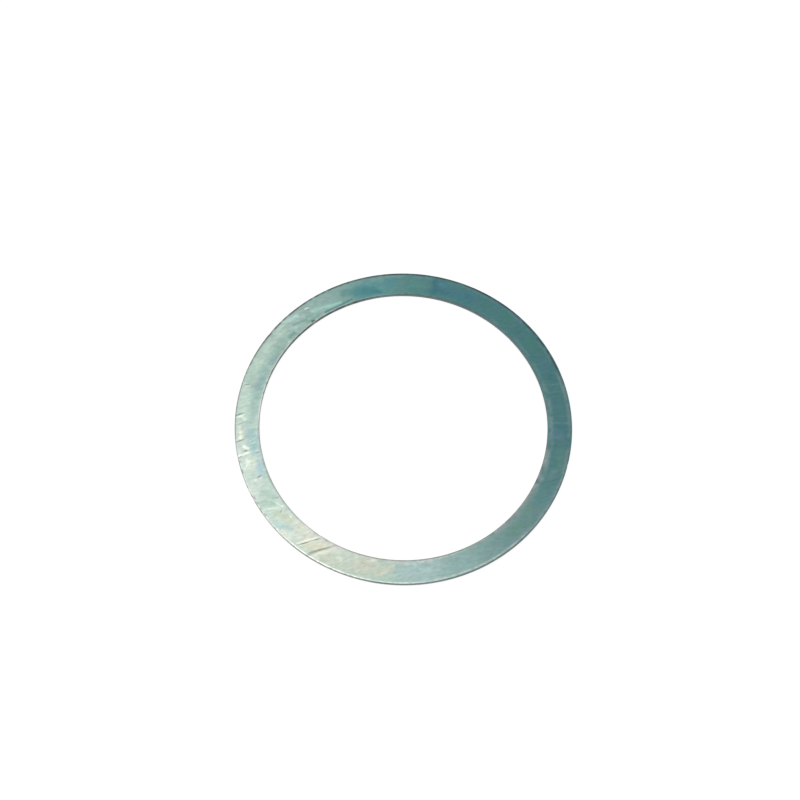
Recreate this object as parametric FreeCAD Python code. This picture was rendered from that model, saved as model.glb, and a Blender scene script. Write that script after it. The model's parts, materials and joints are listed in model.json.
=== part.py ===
# A shim ring: one flat ring punched out of cold-rolled steel strip. It slides over a
# shaft, or drops into a housing bore, and takes up the axial play beside a bearing.
# Millimetres. The ring lies on z = 0, its axis is Z and the origin is the centre of its
# lower face.

import FreeCAD, Part
import math
import os

# Driving dimensions
OUTER_DIAMETER = 55.0
BORE_DIAMETER = 47.0
THICKNESS = 0.8

# Punch and die leave four zones down each cut wall: the upper face rolls over into the
# wall, a burnished land has the full diameter, the metal below it breaks away a little
# inside that diameter, and tumbling has taken the burr off the foot.
ROLL_WIDTH = 0.22
ROLL_DEPTH = 0.12
LAND_HEIGHT = 0.36
BREAK_TAPER = 0.03
FOOT_BREAK = 0.05

AXIS_POINT = FreeCAD.Vector(0, 0, 0)
AXIS = FreeCAD.Vector(0, 0, 1)
FULL_TURN = 360
QUARTER_TURN = math.pi / 2


def at(radius, height):
    """A point of the ring's section, which is drawn in the XZ plane."""
    return FreeCAD.Vector(radius, 0, height)


def cut_wall(wall_radius, outward):
    """One cut wall from the top face to the foot: its edges, its crown and its foot.

    outward is 1 at the rim, where the metal lies inside the wall radius, and -1 at the
    bore, where it lies outside it. The roll is a quarter of an ellipse, tangent to the
    top face and to the land.
    """
    crown = at(wall_radius - outward * ROLL_WIDTH, THICKNESS)
    shoulder = at(wall_radius, THICKNESS - ROLL_DEPTH)
    land_foot = at(wall_radius, THICKNESS - ROLL_DEPTH - LAND_HEIGHT)
    break_foot = at(wall_radius - outward * BREAK_TAPER, FOOT_BREAK)
    foot = at(wall_radius - outward * (BREAK_TAPER + FOOT_BREAK), 0)

    ellipse = Part.Ellipse(shoulder, crown, at(crown.x, shoulder.z))
    roll = Part.ArcOfEllipse(ellipse, 0, QUARTER_TURN)
    land = Part.LineSegment(shoulder, land_foot)
    fracture = Part.LineSegment(land_foot, break_foot)
    chamfer = Part.LineSegment(break_foot, foot)
    edges = [curve.toShape() for curve in (roll, land, fracture, chamfer)]
    return edges, crown, foot


def ring_section():
    """The closed section of the ring: two cut walls joined by the two flat faces."""
    rim, rim_crown, rim_foot = cut_wall(OUTER_DIAMETER / 2, 1)
    bore, bore_crown, bore_foot = cut_wall(BORE_DIAMETER / 2, -1)
    upper_face = Part.LineSegment(bore_crown, rim_crown).toShape()
    lower_face = Part.LineSegment(rim_foot, bore_foot).toShape()
    outline = Part.sortEdges(rim + bore + [upper_face, lower_face])[0]
    return Part.Face(Part.Wire(outline))


os.makedirs("parts", exist_ok=True)
ring = ring_section().revolve(AXIS_POINT, AXIS, FULL_TURN)
ring.exportStep("parts/shim_ring.step")
print(
    f"shim_ring: {ring.ShapeType},",
    "valid," if ring.isValid() else "not valid,",
    f"{ring.Volume:.2f} mm3, {len(ring.Faces)} faces,",
    f"{ring.BoundBox.XLength:.2f} x {ring.BoundBox.YLength:.2f}",
    f"x {ring.BoundBox.ZLength:.2f} mm",
)
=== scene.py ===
# %% [markdown]
# # A shim ring
#
# A shim ring is a thin flat ring, punched out of cold-rolled steel strip. It fills the gap
# beside a bearing, so its value is in its thickness, and its looks are those of the strip:
# satin steel with a thin bloom of oxide, the scuffs of a parts bin, and two cut walls.
#
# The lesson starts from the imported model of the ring, which fixes its size and place. The
# looks are built inside that box: a finely divided ring with real scratches in it, one
# material for the steel, and a plain studio.

import json
import math

import bmesh
import bpy
from mathutils import Euler, Matrix, Vector, noise


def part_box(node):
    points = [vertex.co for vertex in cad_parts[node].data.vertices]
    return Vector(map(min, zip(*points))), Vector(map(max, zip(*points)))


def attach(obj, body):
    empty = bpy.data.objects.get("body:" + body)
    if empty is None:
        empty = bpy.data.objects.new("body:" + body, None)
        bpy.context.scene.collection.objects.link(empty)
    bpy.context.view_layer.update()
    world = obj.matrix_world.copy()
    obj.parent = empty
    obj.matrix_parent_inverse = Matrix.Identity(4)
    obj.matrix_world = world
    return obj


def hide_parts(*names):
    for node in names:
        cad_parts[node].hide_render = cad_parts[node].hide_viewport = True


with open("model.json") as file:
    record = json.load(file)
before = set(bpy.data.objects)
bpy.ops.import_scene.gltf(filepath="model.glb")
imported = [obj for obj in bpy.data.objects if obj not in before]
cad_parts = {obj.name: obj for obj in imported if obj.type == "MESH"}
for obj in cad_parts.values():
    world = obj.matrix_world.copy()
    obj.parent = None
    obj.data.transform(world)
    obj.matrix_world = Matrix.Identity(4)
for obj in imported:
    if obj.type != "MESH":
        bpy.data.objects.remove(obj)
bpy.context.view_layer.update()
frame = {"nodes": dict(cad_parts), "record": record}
print("packed nodes:", sorted(frame["nodes"]))

# %% [markdown]
# ## The sizes
#
# The frame gives the outside, the bore and the thickness. The ring is then modelled in
# millimetres, because its details are hundredths of one, and it is scaled to metres when
# it is done.

# %% Read the ring's sizes from the frame
MM = 0.001
low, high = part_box("shim_ring")
mounts = {mount["name"]: mount for mount in frame["record"]["mounts"]}
RIM = min(high.x, high.y, -low.x, -low.y) / MM
BORE = mounts["bore"]["dims"]["r_mm"]
THICKNESS = (high.z - low.z) / MM
print(f"rim {RIM:.2f} mm, bore {BORE:.2f} mm, thickness {THICKNESS:.2f} mm")

# %% [markdown]
# ## The section of a punched wall
#
# A punch doesn't leave a plain square edge. The sheet's upper face is drawn over into the
# wall before the metal parts, so the edge is rolled. Below it comes a burnished land, where
# the tool rubbed, and then a rougher fracture that leans a little inwards. Tumbling has
# broken the burr off the foot. From above, the rolls give the ring its bright lines, and
# the walls give it its thin dark outline.
#
# The roll is a quarter of an ellipse, so a formula gives its points.

# %% Draw half of the section
ROLL_WIDTH = 0.22
ROLL_DEPTH = 0.12
ROLL_STEPS = 6
LAND_HEIGHT = 0.36
BREAK_TAPER = 0.03
FOOT_BREAK = 0.05
WALL_STEPS = 4


def divided(first, last, steps):
    """Points on a straight run of the section, from its first corner up to its last."""
    return [
        (first[0] + (last[0] - first[0]) * step / steps, first[1] + (last[1] - first[1]) * step / steps)
        for step in range(steps)
    ]


def cut_wall(wall_radius, outward):
    """Section points of one cut wall, from the top face to the foot, as (radius, height).

    outward is 1 at the rim, where the metal lies inside the wall, and -1 at the bore.
    """
    roll = []
    for step in range(ROLL_STEPS):
        turn = math.pi / 2 * step / ROLL_STEPS
        inset = ROLL_WIDTH * (1 - math.sin(turn))
        drop = ROLL_DEPTH * (1 - math.cos(turn))
        roll.append((wall_radius - outward * inset, THICKNESS - drop))
    shoulder = (wall_radius, THICKNESS - ROLL_DEPTH)
    land_foot = (wall_radius, THICKNESS - ROLL_DEPTH - LAND_HEIGHT)
    break_foot = (wall_radius - outward * BREAK_TAPER, FOOT_BREAK)
    foot = (wall_radius - outward * (BREAK_TAPER + FOOT_BREAK), 0.0)
    land = divided(shoulder, land_foot, WALL_STEPS)
    fracture = divided(land_foot, break_foot, WALL_STEPS)
    return roll + land + fracture + [break_foot, foot]


rim_wall = cut_wall(RIM, 1)
bore_wall = cut_wall(BORE, -1)
print("points down each wall:", len(rim_wall))

# %% [markdown]
# ## Spin the section into a ring
#
# A ring is a section turned about an axis, so the spin operator is the natural tool. The
# two flat runs of the section are divided too, because the scratches that come later need
# vertices to move. A full spin is merged, or the ring would have a slit in it.

# %% Spin the ring
SPIN_STEPS = 960
TOP_STEPS = 34
UNDERSIDE_STEPS = 9

section = rim_wall[:-1] + divided(rim_wall[-1], bore_wall[-1], UNDERSIDE_STEPS)
section += bore_wall[:0:-1] + divided(bore_wall[0], rim_wall[0], TOP_STEPS)

ring_bm = bmesh.new()
corners = [ring_bm.verts.new((radius, 0, height)) for radius, height in section]
for first, last in zip(corners, corners[1:] + corners[:1]):
    ring_bm.edges.new((first, last))
bmesh.ops.spin(
    ring_bm,
    geom=ring_bm.verts[:] + ring_bm.edges[:],
    cent=(0, 0, 0),
    axis=(0, 0, 1),
    angle=2 * math.pi,
    steps=SPIN_STEPS,
    use_merge=True,
)
bmesh.ops.recalc_face_normals(ring_bm, faces=ring_bm.faces)
print("faces after the spin:", len(ring_bm.faces))

# %% [markdown]
# ## The marks in the face
#
# The ring has slid about in a bin with others like it. Most of its marks run one way,
# about 20 degrees off the X axis, along the grain that the rolling mill left. Two of them
# are long gouges, and the others are short. A point that digs in pushes metal aside, so a
# mark has a lip along one side. Each stroke is a line on the face with a width, a depth and
# a lip, given by the angle and radius of its two ends.
#
# One stroke can't draw the first gouge, which falters in its middle. So it has three: the
# two halves of its groove, and a shallow one along both, which carries the lip.

# %% List the marks
# (angle, radius) of each end, then the groove's half width, its depth, the lip's height
# and the lip's side: 1 is on the right when the line is followed from its first end to its
# second, seen from above, and -1 is on the left.
MARKS = [
    ((238.0, 23.81), (236.1, 24.85), 0.086, 0.035, 0.000, 1),
    ((235.4, 25.30), (232.8, 26.95), 0.086, 0.035, 0.000, 1),
    ((238.0, 23.81), (232.8, 26.95), 0.086, 0.010, 0.016, 1),
    ((244.1, 23.84), (237.9, 26.73), 0.150, 0.025, 0.006, -1),
    ((178.9, 27.46), (177.5, 25.93), 0.094, 0.031, 0.005, 1),
    ((167.1, 27.11), (166.2, 26.01), 0.079, 0.020, 0.003, 1),
    ((182.4, 27.19), (180.8, 25.46), 0.079, 0.014, 0.002, -1),
    ((188.8, 27.46), (187.8, 25.93), 0.094, 0.028, 0.004, -1),
    ((194.6, 27.46), (194.1, 26.64), 0.079, 0.024, 0.008, -1),
    ((194.0, 24.51), (193.8, 23.81), 0.094, 0.020, 0.004, -1),
    ((192.6, 26.32), (192.3, 25.61), 0.102, 0.024, 0.009, 1),
    ((203.8, 25.38), (203.3, 24.59), 0.102, 0.024, 0.005, 1),
    ((219.9, 25.10), (219.2, 24.51), 0.079, 0.018, 0.004, 1),
    ((131.4, 23.95), (129.8, 23.75), 0.102, 0.035, 0.003, 1),
    ((129.6, 26.16), (128.9, 26.05), 0.094, 0.028, 0.003, -1),
]
print("strokes in the face:", len(MARKS))


def on_face(angle, radius):
    """A point of the face, from its angle in degrees and its radius."""
    turn = math.radians(angle)
    return Vector((radius * math.cos(turn), radius * math.sin(turn)))


# %% [markdown]
# The spin left faces of 0.17 by 0.10 mm, too coarse for a groove 0.2 mm wide. So the faces
# near a mark are divided again, and only those, which keeps the rest of the ring light.

# %% Divide the faces near the marks
MARK_REACH = 0.44
MARK_CUTS = 2
mark_lines = [(on_face(*start), on_face(*end)) for start, end, *_ in MARKS]


def beside(point, first, last):
    """A point's place beside a line: its share of the way, its offset and its overshoot."""
    run = last - first
    share = (point - first).dot(run) / run.length_squared
    offset = (point - first).cross(run) / run.length
    beyond = max(0.0, share - 1, -share) * run.length
    return share, offset, beyond


def within(point, first, last, reach):
    """Whether a point may lie within reach of a line: a quick test before the exact one."""
    return (point - (first + last) / 2).length < (last - first).length / 2 + reach


def near_a_mark(point):
    """Whether a point of the face lies within reach of any mark."""
    return any(
        within(point, first, last, MARK_REACH)
        and math.hypot(*beside(point, first, last)[1:]) < MARK_REACH
        for first, last in mark_lines
    )


marked_faces = [
    face for face in ring_bm.faces
    if face.calc_center_median().z > THICKNESS - ROLL_DEPTH / 2
    and near_a_mark(face.calc_center_median().xy)
]
marked_edges = list(dict.fromkeys(edge for face in marked_faces for edge in face.edges))
bmesh.ops.subdivide_edges(ring_bm, edges=marked_edges, cuts=MARK_CUTS, use_grid_fill=True)
print("faces near marks:", len(marked_faces), "- faces in all:", len(ring_bm.faces))

# %% [markdown]
# ## Press the relief into the mesh
#
# Every vertex of the upper face and of the rolls is moved by the marks and by a slow
# waviness of a few microns, which the eye reads in the reflections and not in the outline.
# The face starts a little below the full thickness, so that even a raised lip stays inside the real
# height. Two numbers are kept on each vertex for the material: painted shade in a groove, and the bright
# metal on a lip, which is partly a painted highlight.

# %% Move the vertices
FACE_DROP = 0.02
WAVE_LENGTH = 4.0
WAVE_HEIGHT = 0.005
# The depth at which a groove's painted shade is full, and the height at which a lip is fully rubbed
# bright and carries its full painted highlight.
GROOVE_SHADE_DEPTH = 0.028
RUB_AND_HIGHLIGHT_HEIGHT = 0.011
# In half widths of the groove: the lip's offset and width, and how far a mark can reach.
LIP_OFFSET = 3.6
LIP_WIDTH = 1.6
MARK_SPREAD = 6
# How deep a mark is at its very ends, and how fast it deepens from there.
END_DEPTH = 0.35
END_SLOPE = 1.6
# How far down the vertices move: the shoulder at the foot of the roll stays where it is.
MOVED_DEPTH = ROLL_DEPTH * 0.98


def bell(distance, width):
    """1 at no distance, falling away smoothly over a width."""
    return math.exp(-((distance / width) ** 2))


def mark_effect(point):
    """Height, painted groove shade and lip brightness, partly a painted highlight, that all the marks
    together give one point of the face.
    """
    height, groove_shade, rub_and_highlight = 0.0, 0.0, 0.0
    for (first, last), (_, _, half_width, depth, lip, side) in zip(mark_lines, MARKS):
        if not within(point, first, last, MARK_SPREAD * half_width):
            continue
        share, offset, beyond = beside(point, first, last)
        from_end = min(max(share, 0), max(1 - share, 0))
        fade = bell(beyond, half_width) * min(1.0, END_DEPTH + END_SLOPE * from_end)
        groove = bell(offset, half_width) * fade
        ridge = bell(offset - side * LIP_OFFSET * half_width, LIP_WIDTH * half_width) * fade
        height += lip * ridge - depth * groove
        groove_shade = max(groove_shade, groove * min(1.0, depth / GROOVE_SHADE_DEPTH))
        rub_and_highlight = max(rub_and_highlight, ridge * min(1.0, lip / RUB_AND_HIGHLIGHT_HEIGHT))
    return height, groove_shade, rub_and_highlight


# Painted shade in the grooves, and bright metal on the lips with a painted highlight.
groove_shade_layer = ring_bm.verts.layers.float.new("groove_shade")
rub_and_highlight_layer = ring_bm.verts.layers.float.new("rub_and_highlight")
for vert in ring_bm.verts:
    if vert.co.z < THICKNESS - MOVED_DEPTH:
        continue
    height, groove_shade, rub_and_highlight = mark_effect(vert.co.xy)
    wave = noise.noise(vert.co / WAVE_LENGTH) * WAVE_HEIGHT
    vert.co.z = min(THICKNESS, vert.co.z - FACE_DROP + wave + height)
    vert[groove_shade_layer] = groove_shade
    vert[rub_and_highlight_layer] = rub_and_highlight
print("vertices under soil:", sum(vert[groove_shade_layer] > 0.5 for vert in ring_bm.verts))

# %% [markdown]
# The rolled edges live a harder life than the face. Where the ring has slid on them they are rubbed
# bright, in beads, because the edge isn't perfectly even, and these bright stretches also carry a
# painted highlight where the roll catches the light. Elsewhere the roll is darkened in patches by
# painted shade. Each stretch is given by its wall, its first and last angle, how far inside the wall it
# lies, its half width and how strong it is. A noise then breaks it up.

# %% Rub the rolled edges bright, and paint highlight and shade on them
EDGE_REACH = 0.65
EDGE_FADE = 9
# The size of the beads and of the patches, how full they are, and how far that varies.
BEADS = (0.47, 0.80, 1.3)
PATCHES = (0.70, 0.95, 1.3)
# Rubbed bright steel on the rolls, partly a painted highlight.
RUBBED_AND_LIT_EDGES = [
    (RIM, 223, 262, 0.14, 0.12, 0.85),
    (RIM, 255, 282, 0.22, 0.09, 0.55),
    (RIM, 274, 322, 0.33, 0.10, 0.45),
    (RIM, 312, 350, 0.28, 0.12, 0.15),
    (RIM, 198, 236, 0.02, 0.11, 0.60),
    (BORE, 112, 150, 0.16, 0.08, 0.25),
    (BORE, 138, 165, 0.15, 0.09, 0.45),
    (BORE, 154, 186, 0.14, 0.10, 0.68),
    (BORE, 176, 204, 0.16, 0.16, 0.20),
    (BORE, 222, 240, 0.12, 0.12, 0.45),
    (BORE, 205, 300, 0.31, 0.10, 0.30),
]
# Painted shade in patches on the rolls.
SHADED_EDGES = [
    (RIM, 15, 52, 0.30, 0.13, 0.95),
    (RIM, 43, 75, 0.14, 0.19, 1.00),
    (RIM, 66, 156, 0.11, 0.22, 1.00),
    (RIM, 138, 168, 0.14, 0.12, 0.75),
    (RIM, 156, 196, 0.14, 0.08, 0.50),
    (RIM, 200, 224, 0.05, 0.10, 0.15),
    (RIM, 282, 325, 0.06, 0.08, 0.40),
    (RIM, 318, 352, 0.20, 0.10, 0.32),
    (BORE, 102, 176, 0.03, 0.08, 1.00),
    (BORE, 176, 216, 0.22, 0.10, 0.36),
    (BORE, 208, 236, 0.27, 0.10, 0.30),
    (BORE, 230, 252, 0.27, 0.12, 0.48),
    (BORE, 244, 300, 0.19, 0.11, 0.36),
    (BORE, 222, 238, 0.48, 0.08, 0.14),
    (BORE, 290, 352, 0.22, 0.12, 0.20),
    (BORE, 14, 60, 0.12, 0.10, 0.24),
    (BORE, 50, 100, 0.12, 0.10, 0.55),
]


def stretch(angle, first, last):
    """1 inside a stretch of angles and 0 outside it, with soft ends."""
    into = (angle - first) % 360
    left = (last - first) % 360 - into
    return max(0.0, min(1.0, into / EDGE_FADE, left / EDGE_FADE))


def clumps(place, size, fullness, variation):
    """A noise from 0 to 1 with clumps of a size in millimetres."""
    return min(1.0, max(0.0, fullness + variation * noise.noise(place / size)))


def edge_wear_and_light(stretches, radius, angle):
    """The strongest of a list of stretches at one point of the rolled edges."""
    return max(
        strength * stretch(angle, first, last) * bell(abs(radius - wall_radius) - inset, width)
        for wall_radius, first, last, inset, width, strength in stretches
    )


# Painted shade on the rolled edges, kept on the vertices.
edge_shade_layer = ring_bm.verts.layers.float.new("edge_shade")
for vert in ring_bm.verts:
    radius = vert.co.xy.length
    if BORE + EDGE_REACH < radius < RIM - EDGE_REACH:
        continue
    angle = math.degrees(math.atan2(vert.co.y, vert.co.x)) % 360
    rub_and_highlight = edge_wear_and_light(RUBBED_AND_LIT_EDGES, radius, angle) * clumps(vert.co, *BEADS)
    vert[rub_and_highlight_layer] = max(vert[rub_and_highlight_layer], rub_and_highlight)
    vert[edge_shade_layer] = edge_wear_and_light(SHADED_EDGES, radius, angle) * clumps(vert.co, *PATCHES)
print("stretches rubbed and scaled:", len(RUBBED_AND_LIT_EDGES), len(SHADED_EDGES))

# %% [markdown]
# The cut walls aren't perfect either. Here and there the edge has been knocked against
# another part, which leaves a small flat nick that shows in the outline.

# %% Knock nicks into the edges
# The angle of each nick, whether it is in the rim or the bore, its half length along the
# edge in millimetres, and how deep it is.
NICKS = [
    (145.6, RIM, 0.24, 0.079),
    (202.0, RIM, 0.27, 0.047),
    (210.0, RIM, 0.31, 0.047),
    (216.5, RIM, 0.27, 0.039),
    (223.0, RIM, 0.31, 0.047),
    (346.5, RIM, 0.27, 0.055),
    (43.5, BORE, 0.31, 0.055),
    (38.0, BORE, 0.27, 0.039),
    (131.0, BORE, 0.24, 0.039),
    (236.8, BORE, 0.24, 0.047),
]
NICK_REACH = 0.47
# How many half lengths a nick can reach along the edge, and its share of depth at the foot.
NICK_SPREAD = 3
FOOT_SHARE = 0.35
for vert in ring_bm.verts:
    radius = vert.co.xy.length
    if BORE + NICK_REACH < radius < RIM - NICK_REACH:
        continue
    outwards = vert.co.xy / radius
    for angle, wall_radius, half_length, depth in NICKS:
        from_wall = abs(radius - wall_radius)
        away = (outwards - on_face(angle, 1)).length * wall_radius
        if from_wall > NICK_REACH or away > NICK_SPREAD * half_length:
            continue
        into_metal = -1 if wall_radius == RIM else 1
        push = depth * bell(away, half_length) * (1 - from_wall / NICK_REACH)
        height_share = FOOT_SHARE + (1 - FOOT_SHARE) * vert.co.z / THICKNESS
        vert.co.xy += outwards * into_metal * push * height_share
print("nicks in the edges:", len(NICKS))

# %% [markdown]
# ## Paint the stains
#
# The thin film on the steel is worn in patches: bare spots that shine white or cream, thin oxide in ice
# blue and lavender, and darker patches. The brightest white flecks and streaks are partly a painted
# highlight on bare metal, and the SHADE stains beside the gouges are painted shade. They follow the
# surface, so they are painted on the vertices before the material is made. Each stain runs from one
# point of the face to another and has its own width, so one formula draws a round patch and a long
# stroke. A noise crumples the coordinates, or the patches would look like drawn ellipses.

# %% List the stains
def colour(red, green, blue):
    """A colour as the eye reads it, 0 to 255, as the linear colour that a shader wants."""
    def linear(value):
        value /= 255
        return value / 12.92 if value <= 0.04045 else ((value + 0.055) / 1.055) ** 2.4
    return (linear(red), linear(green), linear(blue), 1.0)


WHITE = colour(220, 230, 218)
CREAM = colour(222, 226, 208)
STRAW = colour(190, 194, 172)
MINT = colour(182, 206, 190)
LAVENDER = colour(158, 187, 198)
DEEP_TEAL = colour(70, 122, 124)
SHADE = colour(124, 148, 136)
KNOCKED = colour(100, 106, 108)
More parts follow.
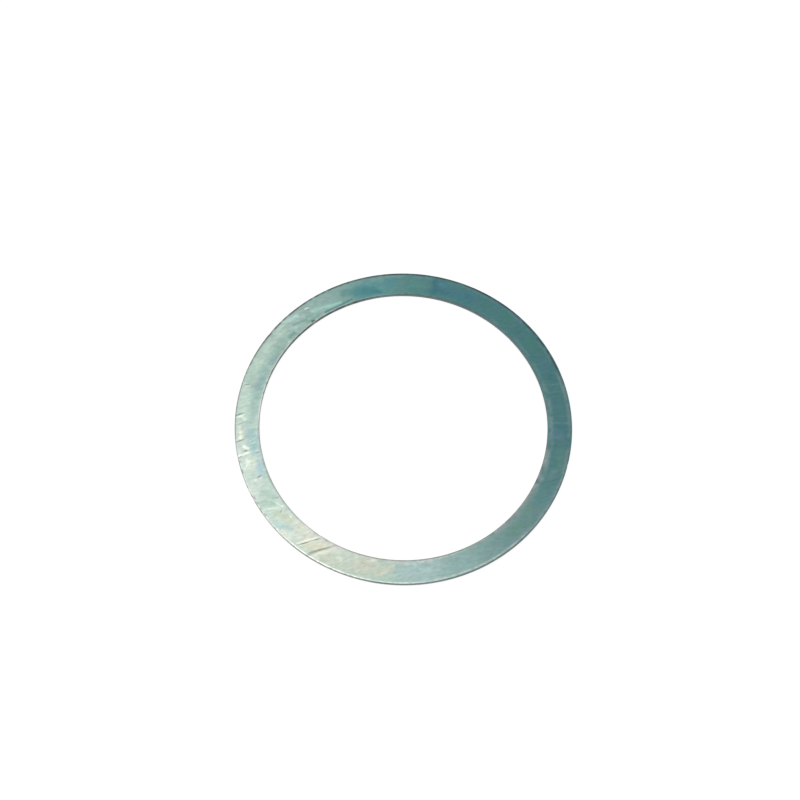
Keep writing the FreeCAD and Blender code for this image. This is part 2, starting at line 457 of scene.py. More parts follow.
# (angle, radius) of both ends, the half width, how much it covers and its tint.
STAINS = [
    # the lower left, about the two gouges
    ((241.0, 25.20), (235.0, 25.80), 1.10, 0.60, colour(206, 203, 180)),
    ((239.4, 26.40), (237.8, 27.00), 0.50, 0.60, SHADE),
    ((240.2, 26.50), (239.6, 26.65), 0.35, 0.45, colour(206, 226, 214)),
    ((242.8, 26.90), (242.2, 26.60), 0.60, 0.30, colour(160, 178, 158)),
    ((248.6, 25.50), (247.6, 25.40), 0.60, 0.35, WHITE),
    ((267.0, 24.70), (262.0, 26.30), 0.80, 0.40, colour(206, 203, 176)),
    ((229.4, 26.90), (225.8, 26.90), 0.50, 0.50, colour(222, 222, 204)),
    ((227.4, 25.50), (223.0, 26.85), 0.72, 0.58, colour(158, 191, 193)),
    ((227.0, 24.40), (223.6, 24.30), 0.60, 0.40, colour(212, 216, 202)),
    ((230.8, 26.05), (227.2, 26.45), 0.55, 0.45, colour(196, 214, 208)),
    # two small white flecks: bare metal with a painted glint
    ((224.0, 27.21), (223.8, 27.19), 0.17, 1.00, colour(244, 248, 244)),
    ((223.7, 24.38), (223.5, 24.35), 0.20, 1.00, colour(244, 248, 240)),
    ((224.8, 24.70), (219.4, 25.70), 0.95, 0.50, colour(180, 192, 164)),
    ((220.6, 24.60), (219.4, 24.40), 0.55, 0.35, STRAW),
    ((215.5, 27.02), (217.3, 25.48), 0.18, 0.55, WHITE),
    ((217.3, 25.46), (218.5, 24.20), 0.19, 0.65, WHITE),
    ((218.5, 24.20), (214.9, 24.94), 0.20, 0.80, WHITE),
    ((213.5, 26.60), (215.6, 25.20), 0.85, 0.55, colour(146, 178, 160)),
    ((210.4, 25.90), (212.6, 24.70), 0.95, 0.45, colour(150, 182, 166)),
    ((213.7, 24.77), (214.5, 23.84), 0.24, 0.55, SHADE),
    ((209.6, 25.60), (210.8, 24.40), 0.24, 0.40, colour(144, 172, 166)),
    ((209.8, 26.85), (205.4, 26.70), 0.75, 0.60, colour(203, 211, 202)),
    # dark spots where the rim was knocked, at the lower left
    ((196.2, 27.38), (195.8, 27.32), 0.20, 0.45, KNOCKED),
    ((199.0, 27.25), (200.3, 27.33), 0.19, 0.60, KNOCKED),
    ((209.9, 27.36), (210.8, 27.25), 0.21, 0.65, KNOCKED),
    ((212.2, 27.30), (212.7, 27.20), 0.19, 0.50, KNOCKED),
    ((214.3, 27.38), (215.0, 27.25), 0.20, 0.60, KNOCKED),
    ((216.9, 27.38), (217.6, 27.23), 0.21, 0.65, KNOCKED),
    ((219.6, 27.42), (221.6, 27.42), 0.16, 0.55, KNOCKED),
    # the left
    ((204.6, 25.85), (204.2, 25.75), 0.32, 0.60, WHITE),
    ((203.0, 24.45), (199.6, 24.40), 0.95, 0.56, LAVENDER),
    ((199.2, 26.20), (196.2, 25.90), 1.15, 0.50, colour(206, 214, 202)),
    ((199.0, 26.90), (196.6, 25.60), 0.26, 0.70, WHITE),
    ((197.2, 26.30), (196.4, 26.10), 0.40, 0.60, WHITE),
    ((198.3, 25.10), (197.3, 25.05), 0.50, 0.55, CREAM),
    ((196.6, 24.90), (195.8, 24.80), 0.45, 0.50, MINT),
    ((194.0, 27.26), (193.4, 25.25), 0.27, 0.90, colour(226, 232, 218)),
    ((193.4, 25.25), (193.1, 24.20), 0.24, 0.60, colour(200, 224, 214)),
    ((190.8, 26.30), (191.9, 25.75), 0.42, 0.90, WHITE),
    ((192.5, 26.00), (192.4, 25.85), 0.24, 0.55, colour(176, 172, 146)),
    ((185.4, 24.90), (192.4, 24.60), 1.25, 0.64, colour(140, 178, 180)),
    ((190.6, 25.30), (189.6, 24.41), 0.16, 0.40, WHITE),
    ((188.8, 25.20), (188.0, 24.30), 0.16, 0.40, WHITE),
    ((187.3, 26.60), (186.8, 26.50), 0.50, 0.90, colour(228, 232, 216)),
    ((185.4, 26.70), (185.0, 26.55), 0.45, 0.85, colour(228, 232, 216)),
    ((183.5, 26.68), (183.1, 26.68), 0.35, 0.50, CREAM),
    ((186.2, 26.95), (186.0, 26.80), 0.20, 0.60, colour(160, 150, 120)),
    ((180.4, 25.93), (178.8, 26.40), 0.35, 0.50, WHITE),
    ((179.4, 27.00), (178.2, 26.00), 0.30, 0.60, WHITE),
    ((176.4, 26.30), (170.0, 26.20), 1.40, 0.42, MINT),
    ((169.0, 25.20), (166.4, 25.20), 0.95, 0.28, colour(134, 164, 156)),
    # the upper left
    ((166.6, 24.67), (163.4, 24.75), 0.94, 0.60, colour(136, 162, 166)),
    ((166.0, 26.20), (163.0, 26.20), 0.90, 0.35, colour(140, 168, 158)),
    ((154.9, 24.25), (151.4, 24.20), 0.80, 0.60, colour(134, 162, 168)),
    ((158.6, 26.20), (156.4, 26.00), 0.75, 0.55, MINT),
    ((160.6, 25.20), (158.2, 25.00), 0.80, 0.30, colour(134, 164, 152)),
    ((151.6, 26.40), (149.6, 26.40), 0.80, 0.50, MINT),
    ((148.6, 25.20), (144.6, 25.10), 0.90, 0.28, colour(126, 158, 148)),
    ((144.4, 26.20), (142.2, 26.00), 0.80, 0.40, MINT),
    ((142.2, 24.45), (139.6, 24.40), 0.55, 0.55, colour(84, 140, 130)),
    ((144.0, 24.00), (143.6, 23.95), 0.20, 0.60, WHITE),
    ((138.4, 24.44), (137.4, 24.75), 0.31, 0.40, MINT),
    ((137.0, 26.60), (134.2, 26.20), 0.62, 0.75, colour(172, 204, 200)),
    ((142.6, 26.85), (138.0, 26.95), 0.50, 0.40, colour(188, 208, 198)),
    ((137.6, 25.50), (132.6, 24.85), 0.42, 0.60, colour(106, 150, 136)),
    ((131.4, 25.10), (129.8, 24.60), 0.45, 0.50, colour(112, 156, 140)),
    ((132.8, 24.20), (127.4, 24.10), 0.30, 0.50, colour(110, 150, 136)),
    ((131.3, 23.90), (129.9, 23.78), 0.22, 0.80, colour(52, 92, 82)),
    ((130.0, 26.50), (128.9, 26.25), 0.17, 0.60, WHITE),
    ((145.9, 27.30), (145.5, 27.30), 0.30, 0.95, colour(58, 70, 68)),
    ((128.3, 25.30), (117.6, 24.42), 0.48, 0.70, colour(158, 200, 186)),
    ((124.4, 24.02), (112.5, 24.10), 0.30, 0.75, DEEP_TEAL),
    ((114.5, 25.60), (106.5, 25.10), 1.15, 0.42, DEEP_TEAL),
    ((103.6, 24.60), (100.6, 24.30), 0.55, 0.45, colour(66, 116, 126)),
    ((104.8, 25.06), (102.8, 24.83), 0.71, 0.50, DEEP_TEAL),
    ((103.0, 26.71), (99.6, 26.56), 0.71, 0.50, colour(120, 156, 154)),
    ((88.6, 25.10), (84.0, 25.00), 1.00, 0.28, colour(86, 138, 126)),
    ((79.9, 26.70), (79.2, 24.40), 0.90, 0.45, colour(54, 98, 114)),
    ((77.6, 26.10), (75.8, 26.00), 0.60, 0.38, colour(88, 138, 152)),
    ((73.4, 25.60), (66.4, 25.20), 1.40, 0.35, colour(62, 110, 130)),
    # the dark side
    ((61.6, 26.10), (57.0, 25.60), 1.10, 0.35, colour(66, 118, 116)),
    ((51.0, 26.20), (48.0, 25.60), 0.90, 0.40, colour(70, 120, 106)),
    ((46.4, 27.00), (45.0, 26.80), 0.50, 0.30, colour(88, 112, 130)),
    ((44.6, 25.60), (42.4, 25.20), 0.70, 0.35, colour(60, 112, 110)),
    ((38.0, 25.80), (33.0, 25.60), 1.00, 0.42, colour(70, 120, 106)),
    ((26.6, 25.50), (25.0, 25.40), 0.70, 0.38, colour(80, 114, 128)),
    ((21.6, 25.80), (20.4, 25.60), 0.60, 0.45, colour(56, 106, 110)),
    ((17.8, 24.36), (17.0, 26.87), 0.21, 0.35, colour(100, 140, 140)),
    ((14.6, 24.51), (14.0, 26.71), 0.26, 0.30, colour(98, 138, 136)),
    ((8.4, 24.51), (8.0, 26.56), 0.35, 0.30, colour(86, 130, 126)),
    ((1.8, 24.20), (1.7, 26.87), 0.16, 0.45, colour(106, 146, 144)),
    ((0.2, 24.83), (0.2, 26.71), 0.65, 0.50, colour(66, 110, 122)),
    ((356.6, 24.36), (356.2, 25.61), 0.94, 0.50, colour(94, 120, 138)),
    ((351.0, 25.90), (346.0, 25.80), 1.10, 0.32, colour(88, 130, 118)),
    ((342.6, 25.60), (339.6, 25.40), 0.95, 0.40, colour(108, 134, 136)),
    ((341.6, 24.28), (338.0, 24.36), 0.59, 0.30, colour(124, 146, 148)),
    ((331.0, 26.09), (328.6, 25.30), 1.06, 0.42, colour(80, 130, 132)),
    ((324.6, 25.20), (322.6, 25.00), 0.80, 0.35, colour(98, 140, 126)),
    ((321.0, 25.80), (313.0, 25.50), 1.20, 0.32, colour(92, 138, 122)),
    ((310.4, 26.40), (309.2, 25.77), 0.94, 0.40, colour(98, 142, 138)),
    ((281.0, 25.38), (277.8, 25.30), 0.71, 0.28, colour(172, 196, 194)),
    ((275.6, 24.20), (272.6, 24.12), 0.47, 0.45, colour(186, 200, 194)),
    ((266.0, 26.40), (267.6, 24.51), 0.47, 0.30, STRAW),
]
print("stains:", len(STAINS))

# %% [markdown]
# Along both edges the film changes in uneven hazes, one or two millimetres wide: grey or
# nearly white where it is thin, and teal where it is thick. A haze follows the edge, so it
# is given by its first and last angle, the radius of its middle, its half width, how much
# it covers and its tint.

# %% List the hazes along the edges
HAZES = [
    (286, 357, 24.10, 0.75, 0.30, colour(150, 158, 154)),
    (330, 22, 24.00, 0.75, 0.38, colour(142, 155, 150)),
    (336, 356, 26.30, 1.10, 0.30, colour(104, 138, 130)),
    (10, 60, 24.00, 0.45, 0.14, colour(150, 165, 160)),
    (56, 114, 24.40, 0.85, 0.38, DEEP_TEAL),
    (92, 112, 24.00, 0.60, 0.35, colour(70, 120, 122)),
    (66, 86, 24.60, 0.90, 0.40, colour(60, 104, 122)),
    (128, 160, 24.15, 0.65, 0.30, colour(116, 150, 142)),
    (148, 172, 24.30, 0.95, 0.34, colour(128, 162, 154)),
    (217, 238, 24.10, 0.45, 0.45, colour(222, 220, 210)),
    (176, 206, 23.95, 0.40, 0.55, colour(184, 198, 202)),
    (238, 270, 24.05, 0.60, 0.40, colour(222, 220, 208)),
    (262, 288, 24.00, 0.40, 0.35, colour(205, 208, 204)),
    (220, 262, 23.65, 0.35, 0.42, colour(226, 218, 212)),
    (254, 352, 23.65, 0.35, 0.45, colour(190, 178, 178)),
    (285, 350, 27.05, 0.60, 0.14, colour(150, 160, 165)),
    (338, 28, 27.05, 0.50, 0.42, colour(128, 140, 138)),
    (4, 56, 26.88, 0.40, 0.26, colour(122, 146, 144)),
    (48, 78, 26.90, 0.40, 0.12, colour(130, 160, 160)),
    (78, 112, 26.95, 0.40, 0.45, colour(140, 166, 166)),
    (226, 248, 26.90, 0.70, 0.40, colour(216, 216, 200)),
]
print("hazes:", len(HAZES))

# %% [markdown]
# A stain covers what lies under it, like paint on glass. So each vertex keeps the colour
# of all its stains together, already weighted, and how much they cover in all.
#
# Noise vectors start from the clock unless they are given a seed, and no two runs would
# then paint the same ring. So the seed is set first.

# %% Paint them on the vertices
NOISE_SEED = 3
CRUMPLE_SIZE = 0.43
CRUMPLE_REACH = 0.13
DRAG_SIZE = 1.7
DRAG_REACH = 0.12
STAIN_CORE = 0.15
# The size of the patches in a haze, how full they are, and how far that varies.
HAZE_PATCHES = (1.2, 0.75, 1.2)
stain_lines = [(on_face(*start), on_face(*end)) for start, end, *_ in STAINS]
noise.seed_set(NOISE_SEED)


def soft(value):
    """0 to 1 with a smooth start and a smooth end."""
    value = min(1.0, max(0.0, value))
    return value * value * (3 - 2 * value)


def painted(place):
    """The weighted colour and the cover of all the hazes and stains at one vertex."""
    paint = Vector((0.0, 0.0, 0.0, 0.0))
    angle = math.degrees(math.atan2(place.y, place.x)) % 360
    crumpled = place + noise.noise_vector(place / CRUMPLE_SIZE) * CRUMPLE_REACH
    uneven = soft(clumps(place, *HAZE_PATCHES))
    for first, last, radius, half_width, share, haze_tint in HAZES:
        from_edge = 1 - abs(crumpled.xy.length - radius) / half_width
        cover = share * stretch(angle, first, last) * soft(from_edge) * uneven
        paint = paint * (1 - cover) + Vector(haze_tint) * cover
    crumpled += noise.noise_vector(place / DRAG_SIZE) * DRAG_REACH
    for (first, last), (_, _, half_width, share, stain_tint) in zip(stain_lines, STAINS):
        if not within(crumpled.xy, first, last, half_width):
            continue
        _, offset, beyond = beside(crumpled.xy, first, last)
        from_edge = 1 - math.hypot(offset, beyond) / half_width
        cover = share * soft(from_edge / (1 - STAIN_CORE))
        paint = paint * (1 - cover) + Vector(stain_tint) * cover
    return paint


stain_layer = ring_bm.verts.layers.float_color.new("stain")
for vert in ring_bm.verts:
    if vert.co.z > THICKNESS - ROLL_DEPTH:
        vert[stain_layer] = painted(vert.co)
print("vertices with paint:", sum(vert[stain_layer][3] > 0 for vert in ring_bm.verts))

# %% [markdown]
# ## The finished ring
#
# The ring becomes a mesh in metres. Smooth shading rounds the rolls, and an edge that turns by more than
# 40 degrees keeps its crease. The new ring rides on the one body there is and takes the place of the
# imported node.

# %% Make the ring's mesh
SHARP_ANGLE = 40
ring_mesh = bpy.data.meshes.new("steel_ring")
ring_bm.to_mesh(ring_mesh)
ring_bm.free()
ring_mesh.transform(Matrix.Scale(MM, 4))
ring_mesh.shade_smooth()
ring_mesh.set_sharp_from_angle(angle=math.radians(SHARP_ANGLE))
steel_ring = bpy.data.objects.new("steel_ring", ring_mesh)
bpy.context.scene.collection.objects.link(steel_ring)
ring_mesh.calc_loop_triangles()
print("triangles:", len(ring_mesh.loop_triangles))

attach(steel_ring, "root")
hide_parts("shim_ring")

# %% [markdown]
# ## The steel
#
# The strip is bare, but it isn't grey. A film of oxide and rolling oil, thinner than a
# wavelength, gives it blue-green tints, and where the film has been rubbed thin it turns
# pale mint, straw and ice blue. The tints drift over centimetres and break up into a fine
# mottle over tenths of a millimetre.
#
# The material is built from the large to the small: first a drift of tint across the whole ring, partly
# painted light, then blooms at their places, the stains that the mesh carries, the mottle and the
# rolling lines. The cut walls follow, darkened by painted shade, and at last the painted shade on the
# rolled edges, the rubbed metal with its painted highlight and the painted shade in the grooves.
# It reads Object coordinates and what the mesh carries, so all of it stays on the steel.

# %% Small helpers for node trees
def add(tree, kind, sockets=None, **settings):
    """A new node with its settings, its socket values and the links into it."""
    made = tree.nodes.new(kind)
    for name, value in settings.items():
        setattr(made, name, value)
    for socket, value in (sockets or {}).items():
        if isinstance(value, bpy.types.NodeSocket):
            tree.links.new(value, made.inputs[socket])
        else:
            made.inputs[socket].default_value = value
    return made


def sum_up(tree, operation, first, second):
    """The result of one step of arithmetic on two numbers."""
    return add(tree, "ShaderNodeMath", {0: first, 1: second}, operation=operation).outputs[0]


def sum_up_vectors(tree, operation, first, second):
    """The same for two vectors, or for a vector and the number that scales it."""
    second_socket = "Scale" if operation == "SCALE" else 1
    sockets = {0: first, second_socket: second}
    return add(tree, "ShaderNodeVectorMath", sockets, operation=operation).outputs[0]


MIX_FACTOR, MIX_A, MIX_B, MIX_RESULT = 0, 6, 7, 2


def blend(tree, share, under, over, mode="MIX"):
    """One colour laid over another: share is how much of it covers."""
    sockets = {MIX_FACTOR: share, MIX_A: under, MIX_B: over}
    made = add(tree, "ShaderNodeMix", sockets, data_type="RGBA", blend_type=mode)
    return made.outputs[MIX_RESULT]


def rescale(tree, value, low_in, high_in, low_out, high_out, smooth=True):
    """A value taken from one range to another, and held inside it."""
    sockets = {0: value, 1: low_in, 2: high_in, 3: low_out, 4: high_out}
    made = add(tree, "ShaderNodeMapRange", sockets, clamp=True)
    made.interpolation_type = "SMOOTHSTEP" if smooth else "LINEAR"
    return made.outputs[0]


# %% [markdown]
# The mesh is in metres, and a metre is a poor unit for a film of oxide. So the coordinates
# are turned into millimetres once, and every size in the material is then a real one.

# %% Start the steel and its coordinates
steel = bpy.data.materials.new("blued_strip_steel")
steel.use_nodes = True
tree = steel.node_tree
tree.nodes.clear()
place = add(tree, "ShaderNodeTexCoord").outputs["Object"]
in_mm = sum_up_vectors(tree, "MULTIPLY", place, (1 / MM,) * 3)

# %% [markdown]
# A soft drift looks painted if its edges are smooth. So the coordinates of the tints are
# pushed about by a slow noise first, by about a millimetre.

# %% Warp the coordinates of the tints
def ruffled(size, reach):
    """The coordinates in millimetres, pushed about by a noise of a size and a reach."""
    cloudy = add(tree, "ShaderNodeTexNoise", {"Vector": in_mm, "Scale": 1 / size, "Detail": 3.0})
    centred = sum_up_vectors(tree, "SUBTRACT", cloudy.outputs["Color"], (0.5,) * 3)
    push = sum_up_vectors(tree, "SCALE", centred, 2 * reach)
    return sum_up_vectors(tree, "ADD", in_mm, push)


drifting = ruffled(size=2.0, reach=0.95)

# %% [markdown]
# The large drift runs from a pale side to a dark side. It is partly the film's own tint and partly
# painted light: the left, where the light falls, is painted paler, and the right darker. A dot product
# with one direction gives how far a point lies towards the pale side, and a colour ramp turns that into
# tint.

# %% The drift of tint and painted light across the ring
PALE_SIDE = 207
pale_direction = (*on_face(PALE_SIDE, 1 / RIM), 0)
towards_pale = add(
    tree, "ShaderNodeVectorMath", {0: drifting, 1: pale_direction}, operation="DOT_PRODUCT"
).outputs["Value"]
drift = add(tree, "ShaderNodeValToRGB", {0: rescale(tree, towards_pale, -1, 1, 0, 1, smooth=False)})
# From the dark side to the pale side: the film's tint, with painted light and shade laid into it.
DRIFT_STOPS = [
    (0.00, colour(74, 114, 117)),
    (0.14, colour(78, 118, 121)),
    (0.28, colour(88, 129, 128)),
    (0.40, colour(106, 144, 141)),
    (0.52, colour(134, 164, 158)),
    (0.66, colour(155, 178, 171)),
    (0.82, colour(170, 191, 181)),
    (1.00, colour(187, 202, 193)),
]
ramp = drift.color_ramp
for position, _ in DRIFT_STOPS[1:-1]:
    ramp.elements.new(position)
for element, (position, stop_tint) in zip(ramp.elements, DRIFT_STOPS):
    element.position = position
    element.color = stop_tint
tint = drift.outputs["Color"]
print("stops in the drift:", len(DRIFT_STOPS))

# %% [markdown]
# A bloom is an ellipse on the face with a soft edge. A Mapping node of the texture kind
# moves a point into the ellipse's own measure, where the edge is at a length of one.

# %% The blooms of tint at their places
BLOOM_SOFTNESS = 0.85
# So tall that a point's height doesn't count.
ANY_HEIGHT = 1000


def ellipse_mask(coordinates, centre, turn, half_long, half_wide):
    """How much of an ellipse covers a point: 1 in its middle and 0 outside it."""
    local = add(
        tree, "ShaderNodeMapping",
        {
            "Vector": coordinates, "Location": (*centre, 0), "Rotation": (0, 0, turn),
            "Scale": (half_long, half_wide, ANY_HEIGHT),
        },
        vector_type="TEXTURE",
    )
    reach = add(tree, "ShaderNodeVectorMath", {0: local.outputs[0]}, operation="LENGTH")
    return rescale(tree, reach.outputs["Value"], 1 - BLOOM_SOFTNESS, 1, 1, 0)


# The angle and radius of each bloom, its length along the band, its width across it, how
# much it covers, and its tint.
BLOOMS = [
    (236, 24.83, 18.9, 5.5, 0.90, colour(200, 204, 190)),
    (243, 26.40, 11.0, 3.9, 0.75, colour(184, 192, 176)),
    (257, 25.14, 9.4, 6.3, 0.85, colour(188, 192, 176)),
    (277, 25.61, 11.8, 7.1, 0.75, colour(156, 180, 180)),
    (292, 25.61, 9.4, 6.3, 0.50, colour(134, 162, 164)),
    (168, 24.36, 20.4, 2.7, 0.65, colour(144, 174, 168)),
    (196, 24.36, 11.0, 2.7, 0.50, colour(166, 188, 186)),
    (192, 27.03, 14.1, 2.0, 0.55, colour(196, 208, 200)),
    (151, 26.40, 9.4, 2.7, 0.50, colour(170, 190, 180)),
    (77, 25.69, 3.6, 4.2, 0.55, colour(62, 110, 126)),
    (66, 25.46, 4.7, 3.1, 0.50, colour(68, 114, 126)),
    (88, 25.14, 3.9, 3.9, 0.60, colour(88, 132, 126)),
    (96, 25.93, 2.8, 2.4, 0.55, colour(80, 132, 140)),
    (107, 24.91, 5.5, 3.3, 0.70, colour(74, 128, 132)),
    (50, 25.77, 4.7, 3.1, 0.45, colour(72, 120, 114)),
    (36, 25.30, 4.7, 2.8, 0.50, colour(70, 118, 112)),
    (26, 25.46, 2.7, 2.4, 0.55, colour(78, 116, 128)),
    (20, 25.69, 2.2, 2.0, 0.45, colour(66, 112, 116)),
    (358, 25.30, 2.7, 3.3, 0.50, colour(84, 120, 130)),
    (316, 25.77, 3.1, 2.0, 0.65, colour(92, 136, 122)),
    (326, 24.67, 3.9, 1.9, 0.45, colour(104, 136, 126)),
    (318, 25.50, 24.0, 9.0, 0.30, colour(128, 138, 140)),
    (150, 24.20, 9.0, 3.0, 0.60, colour(138, 168, 156)),
    (104, 25.00, 12.0, 4.5, 0.45, colour(80, 142, 150)),
]
for angle, radius, long, wide, share, bloom_tint in BLOOMS:
    along_band = math.radians(angle + 90)
    mask = ellipse_mask(drifting, on_face(angle, radius), along_band, long / 2, wide / 2)
    tint = blend(tree, sum_up(tree, "MULTIPLY", mask, share), tint, bloom_tint)
print("blooms of tint:", len(BLOOMS))

# %% [markdown]
# The stains come off the vertices. Their colour is already weighted, so it is added to
# what they leave uncovered.

# %% Lay the stains over the tint
stain = add(tree, "ShaderNodeAttribute", attribute_name="stain")
uncovered = sum_up(tree, "SUBTRACT", 1.0, stain.outputs["Alpha"])
left_over = sum_up_vectors(tree, "SCALE", tint, uncovered)
tint = sum_up_vectors(tree, "ADD", left_over, stain.outputs["Color"])

# %% [markdown]
# The mottle has two sizes. The larger one swings the tint between green and mauve by a few percent. The
# smaller one is a fine cloudiness in brightness, drawn out along the grain, and the rolling lines are
# the same noise drawn out much further. Both of these are stronger on the pale side, where the film is
# worn and which is partly painted light.

# %% The mottle and the rolling lines
GRAIN_ANGLE = math.radians(20)
# Where the pale side, worn and partly painted light, begins and where it is full, from -1 on the dark
# side to 1 on the pale side, and how strongly the mottle shows on the dark side.
WORN_FROM = -0.3
WORN_TO = 0.4
UNWORN_STRENGTH = 0.55
# How far the brightness swings with the cloudiness and with the rolling lines.
CLOUD_SWING = 0.14
LINES_SWING = 0.07
# A noise keeps within about a quarter of its middle value.
NOISE_MIDDLE = 0.5
NOISE_REACH = 0.25
# The part of the noise that takes the hue from greener to more mauve.
HUE_NOISE = (0.32, 0.68)
GREENER = (0.975, 1.01, 0.98, 1)
MAUVER = (1.022, 0.993, 1.018, 1)


def grained_noise(size, drawn_out, detail=3.0):
    """Noise with features of a size in millimetres, drawn out along the grain."""
    turned = add(
        tree, "ShaderNodeMapping",
        {"Vector": in_mm, "Rotation": (0, 0, GRAIN_ANGLE), "Scale": (size * drawn_out, size, size)},
        vector_type="TEXTURE",
    )
    sockets = {"Vector": turned.outputs[0], "Scale": 1.0, "Detail": detail, "Roughness": 0.55}
    return add(tree, "ShaderNodeTexNoise", sockets).outputs["Fac"]


hue_mottle = grained_noise(size=1.0, drawn_out=1.4)
cloud = grained_noise(size=0.43, drawn_out=2.2, detail=4.0)
rolling_lines = grained_noise(size=0.125, drawn_out=12)
# The pale side, worn and partly painted light, sets how strongly the mottle shows.
worn_and_lit = rescale(tree, towards_pale, WORN_FROM, WORN_TO, UNWORN_STRENGTH, 1.0)


def swing(value, reach):
    """A factor that swings about 1 with a noise, by its reach on the pale side, which is worn and partly
    painted light.
    """
    centred = sum_up(tree, "SUBTRACT", value, NOISE_MIDDLE)
    strength = sum_up(tree, "MULTIPLY", worn_and_lit, reach / NOISE_REACH)
    return sum_up(tree, "ADD", sum_up(tree, "MULTIPLY", centred, strength), 1.0)


hue = blend(tree, rescale(tree, hue_mottle, *HUE_NOISE, 0, 1), GREENER, MAUVER)
tint = blend(tree, 1.0, tint, hue, mode="MULTIPLY")
brightness = sum_up(tree, "MULTIPLY", swing(cloud, CLOUD_SWING), swing(rolling_lines, LINES_SWING))
tint = sum_up_vectors(tree, "SCALE", tint, brightness)

# %% [markdown]
# The cut walls never saw the rolling mill. Their dark tint is painted shade, a little darker on the
# fracture, which is also rougher than the burnished land. Height alone tells the two apart, so the
# material reads the object's own Z.

# %% The cut walls
# The heights between which the face gives way to the wall, and the wall to the underside,
# and half of the height over which the land gives way to the fracture.
WALL_FULL = THICKNESS - 0.075
WALL_NONE = THICKNESS - 0.035
UNDERSIDE_FADE = 0.02
LAND_FOOT = THICKNESS - ROLL_DEPTH - LAND_HEIGHT
LAND_FADE = 0.04
# Painted shade for the fracture and the land of the cut walls, and how much of it covers them.
FRACTURE_SHADE = colour(58, 70, 70)
LAND_SHADE = colour(76, 92, 91)
WALL_SHADE_COVER = 0.9

height = add(tree, "ShaderNodeSeparateXYZ", {0: in_mm}).outputs["Z"]
below_face = rescale(tree, height, WALL_FULL, WALL_NONE, 1, 0)
above_foot = rescale(tree, height, 0, UNDERSIDE_FADE, 0, 1)
wall_share = sum_up(tree, "MULTIPLY", below_face, above_foot)
land_share = rescale(tree, height, LAND_FOOT - LAND_FADE, LAND_FOOT + LAND_FADE, 0, 1)
wall_shade = blend(tree, land_share, FRACTURE_SHADE, LAND_SHADE)
tint = blend(tree, sum_up(tree, "MULTIPLY", wall_share, WALL_SHADE_COVER), tint, wall_shade)

# %% [markdown]
# Painted shade darkens patches of the rolled edges, rubbed edges and lips are bare bright steel with a
# painted highlight, and painted shade darkens the grooves. All three come from the numbers that were
# kept on the vertices.

# %% Painted edge shade, rubbed metal with painted highlight, and painted groove shade
# The name of each number, how much its layer covers at most and its tint, from the lowest
# layer up.
WEAR_AND_PAINTED_LIGHT = [
    # painted shade in patches on the rolled edges
    ("edge_shade", 0.90, colour(54, 57, 57)),
    # rubbed bare steel, partly a painted highlight
    ("rub_and_highlight", 0.92, colour(238, 237, 228)),
    # painted shade in the grooves
    ("groove_shade", 0.75, colour(84, 90, 74)),
]
for attribute_name, share, layer_tint in WEAR_AND_PAINTED_LIGHT:
    amount = add(tree, "ShaderNodeAttribute", attribute_name=attribute_name).outputs["Fac"]
    tint = blend(tree, sum_up(tree, "MULTIPLY", amount, share), tint, layer_tint)
print("layers of wear:", len(WEAR_AND_PAINTED_LIGHT))

# %% [markdown]
# Steel is a metal all through, so the shader is fully metallic, and the tint is what it
# reflects. The roughness drifts with the cloudiness, and the same noises give a slight
# bump. The deep marks are already in the mesh.

# %% Join it all in one shader
# The face's roughness in the dips and on the crests of the cloudiness, and what the
# fracture adds to it.
SMOOTHEST = 0.25
ROUGHEST = 0.37
FRACTURE_ROUGHNESS = 0.25
# The share that each noise has in the relief, and the relief's height in millimetres.
CLOUD_RELIEF = 0.7
LINES_RELIEF = 0.3
RELIEF_HEIGHT = 0.016
BUMP_STRENGTH = 0.6

noise_range = (NOISE_MIDDLE - NOISE_REACH, NOISE_MIDDLE + NOISE_REACH)
roughness = rescale(tree, cloud, *noise_range, SMOOTHEST, ROUGHEST, smooth=False)
fracture = sum_up(tree, "MULTIPLY", wall_share, sum_up(tree, "SUBTRACT", 1.0, land_share))
rougher = sum_up(tree, "MULTIPLY", fracture, FRACTURE_ROUGHNESS)
roughness = sum_up(tree, "ADD", roughness, rougher)
cloud_relief = sum_up(tree, "MULTIPLY", cloud, CLOUD_RELIEF)
lines_relief = sum_up(tree, "MULTIPLY", rolling_lines, LINES_RELIEF)
relief = sum_up(tree, "MULTIPLY", sum_up(tree, "ADD", cloud_relief, lines_relief), worn_and_lit)
bump = add(
    tree, "ShaderNodeBump",
    {"Strength": BUMP_STRENGTH, "Distance": RELIEF_HEIGHT * MM, "Height": relief},
)
shader = add(
    tree, "ShaderNodeBsdfPrincipled",
    {"Base Color": tint, "Metallic": 1.0, "Roughness": roughness, "Normal": bump.outputs[0]},
)
add(tree, "ShaderNodeOutputMaterial", {"Surface": shader.outputs[0]})
steel_ring.data.materials.append(steel)
print("nodes in the steel:", len(tree.nodes))

# %% [markdown]
# ## The studio
#
# The floor is a flat white sheet. To the camera, and in reflections, most of its white is a
# glow of its own, and a share of matt white makes up the rest and keeps the ring's contact
# shadow. To rays that only carry light it is plain matt white.

# %% The floor
FLOOR_SIZE = 6.0
FLOOR_GLOW = 0.82
FLOOR_MATT = 0.25
FLOOR_PLAIN = 0.8


def grey(level):
    """A neutral colour: 0 is black and 1 is white."""
    return (level, level, level, 1)


def seen_directly(studio_tree):
    """1 for rays that look at the background: from the camera, or through a reflection."""
    path = add(studio_tree, "ShaderNodeLightPath")
    either = sum_up(studio_tree, "MAXIMUM", path.outputs["Is Camera Ray"], path.outputs["Is Glossy Ray"])
    return sum_up(studio_tree, "MAXIMUM", either, path.outputs["Is Transmission Ray"])


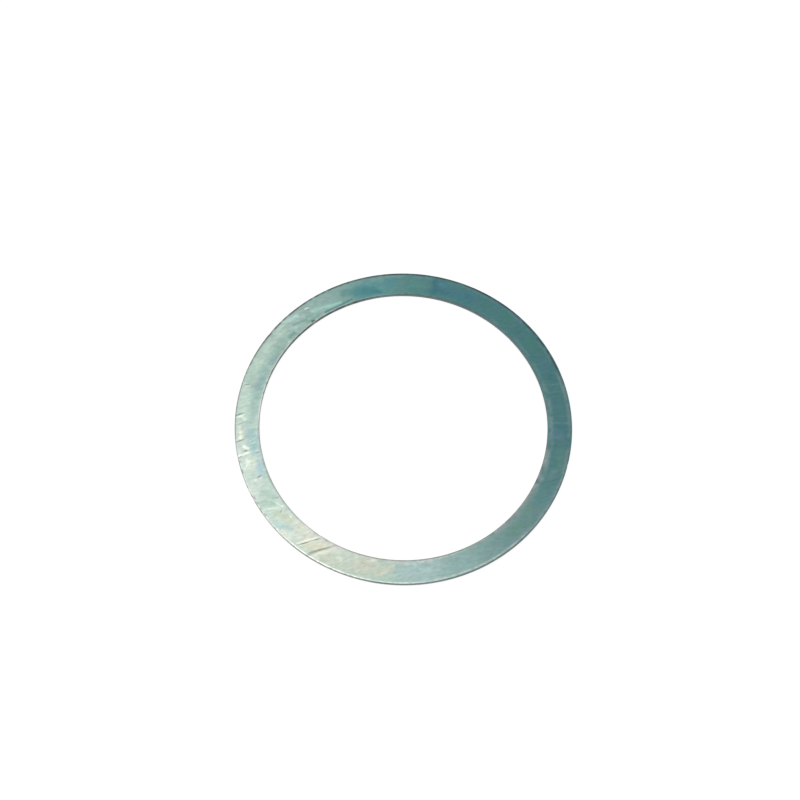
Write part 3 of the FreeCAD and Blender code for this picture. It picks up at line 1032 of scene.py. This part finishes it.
def lit_and_seen(studio_tree, lit, seen):
    """One shader for rays that carry light, and another for rays that look directly at it."""
    sockets = {0: seen_directly(studio_tree), 1: lit.outputs[0], 2: seen.outputs[0]}
    return add(studio_tree, "ShaderNodeMixShader", sockets).outputs[0]


floor_bm = bmesh.new()
bmesh.ops.create_grid(floor_bm, x_segments=1, y_segments=1, size=FLOOR_SIZE / 2)
floor_mesh = bpy.data.meshes.new("floor")
floor_bm.to_mesh(floor_mesh)
floor_bm.free()
floor = bpy.data.objects.new("floor", floor_mesh)
bpy.context.scene.collection.objects.link(floor)

white = bpy.data.materials.new("white_floor")
white.use_nodes = True
white.node_tree.nodes.clear()
glow = add(white.node_tree, "ShaderNodeEmission", {"Color": grey(1), "Strength": FLOOR_GLOW})
matt = add(white.node_tree, "ShaderNodeBsdfDiffuse", {"Color": grey(FLOOR_MATT)})
matt_and_glow = add(white.node_tree, "ShaderNodeAddShader", {0: glow.outputs[0], 1: matt.outputs[0]})
plain = add(white.node_tree, "ShaderNodeBsdfDiffuse", {"Color": grey(FLOOR_PLAIN)})
floor_surface = lit_and_seen(white.node_tree, plain, matt_and_glow)
add(white.node_tree, "ShaderNodeOutputMaterial", {"Surface": floor_surface})
floor.data.materials.append(white)
print(f"floor {FLOOR_SIZE:.0f} m wide")

# %% [markdown]
# The world goes on beyond the floor in the same white. A strength of one is white to the
# camera and in reflections, and as light it is a little weaker, so that pale steel doesn't
# burn out.

# %% The world
WORLD_FILL = 0.8
world = bpy.data.worlds.new("studio")
bpy.context.scene.world = world
world.use_nodes = True
world.node_tree.nodes.clear()
backdrop = add(world.node_tree, "ShaderNodeBackground", {"Color": grey(1), "Strength": 1.0})
fill = add(world.node_tree, "ShaderNodeBackground", {"Color": grey(1), "Strength": WORLD_FILL})
sky = lit_and_seen(world.node_tree, fill, backdrop)
add(world.node_tree, "ShaderNodeOutputWorld", {"Surface": sky})
print("world light:", WORLD_FILL)

# %% [markdown]
# Two soft panels hang above the ring. The larger one hangs to the left, where the face
# mirrors its edge, so the pale side brightens and every scratch there catches it. The
# smaller one is nearly overhead, where only the rolled edges can see it.

# %% The panels
def panel(name, place, size_x, size_y, brightness):
    """A soft panel, in metres, that faces the ring and gets its power from its brightness."""
    lamp = bpy.data.lights.new(name, "AREA")
    lamp.shape = "RECTANGLE"
    lamp.size = size_x
    lamp.size_y = size_y
    lamp.energy = brightness * math.pi * size_x * size_y
    holder = bpy.data.objects.new(name, lamp)
    holder.location = place
    holder.rotation_euler = Vector(place).to_track_quat("Z", "Y").to_euler()
    bpy.context.scene.collection.objects.link(holder)
    print(f"{name}: {lamp.energy:.2f} W")


panel("left_panel", place=(-0.37, 0.06, 0.79), size_x=0.67, size_y=0.63, brightness=0.6)
panel("overhead_panel", place=(0.04, -0.17, 0.86), size_x=0.71, size_y=0.28, brightness=1.2)

# %% [markdown]
# ## The camera
#
# The photograph was taken from in front and well above. Its frame is a square of 800
# pixels. The lens is given by how many of those pixels span one unit of slope, and the
# ring's place in the frame by the pixel that the centre of its upper face falls on. The
# roll is a slight turn about the line of sight, and the distance is in metres.

# %% The camera
FRAME_PIXELS = 800
PIXELS_PER_SLOPE = 1930
RING_CENTRE_PIXEL = (403.6, 423.15)
CAMERA_ELEVATION = 66.3
CAMERA_ROLL = 1.63
CAMERA_DISTANCE = 0.3146
SENSOR_WIDTH = 36
CLIP_START = 0.01

camera_data = bpy.data.cameras.new("camera")
camera_data.sensor_width = SENSOR_WIDTH
camera_data.lens = SENSOR_WIDTH * PIXELS_PER_SLOPE / FRAME_PIXELS
camera_data.clip_start = CLIP_START
camera = bpy.data.objects.new("camera", camera_data)
bpy.context.scene.collection.objects.link(camera)
bpy.context.scene.camera = camera

aim = Euler((math.radians(90 - CAMERA_ELEVATION), 0, 0)).to_matrix()
aim = aim @ Matrix.Rotation(math.radians(CAMERA_ROLL), 3, "Z")
slope_x = (RING_CENTRE_PIXEL[0] - FRAME_PIXELS / 2) / PIXELS_PER_SLOPE
slope_y = (FRAME_PIXELS / 2 - RING_CENTRE_PIXEL[1]) / PIXELS_PER_SLOPE
ring_from_camera = Vector((slope_x, slope_y, -1)) * CAMERA_DISTANCE
upper_centre = Vector((0, 0, THICKNESS * MM))
camera.rotation_euler = aim.to_euler()
camera.location = upper_centre - aim @ ring_from_camera
print(f"lens {camera_data.lens:.1f} mm, camera at", [round(c, 3) for c in camera.location])

bpy.context.scene.view_settings.view_transform = "Standard"
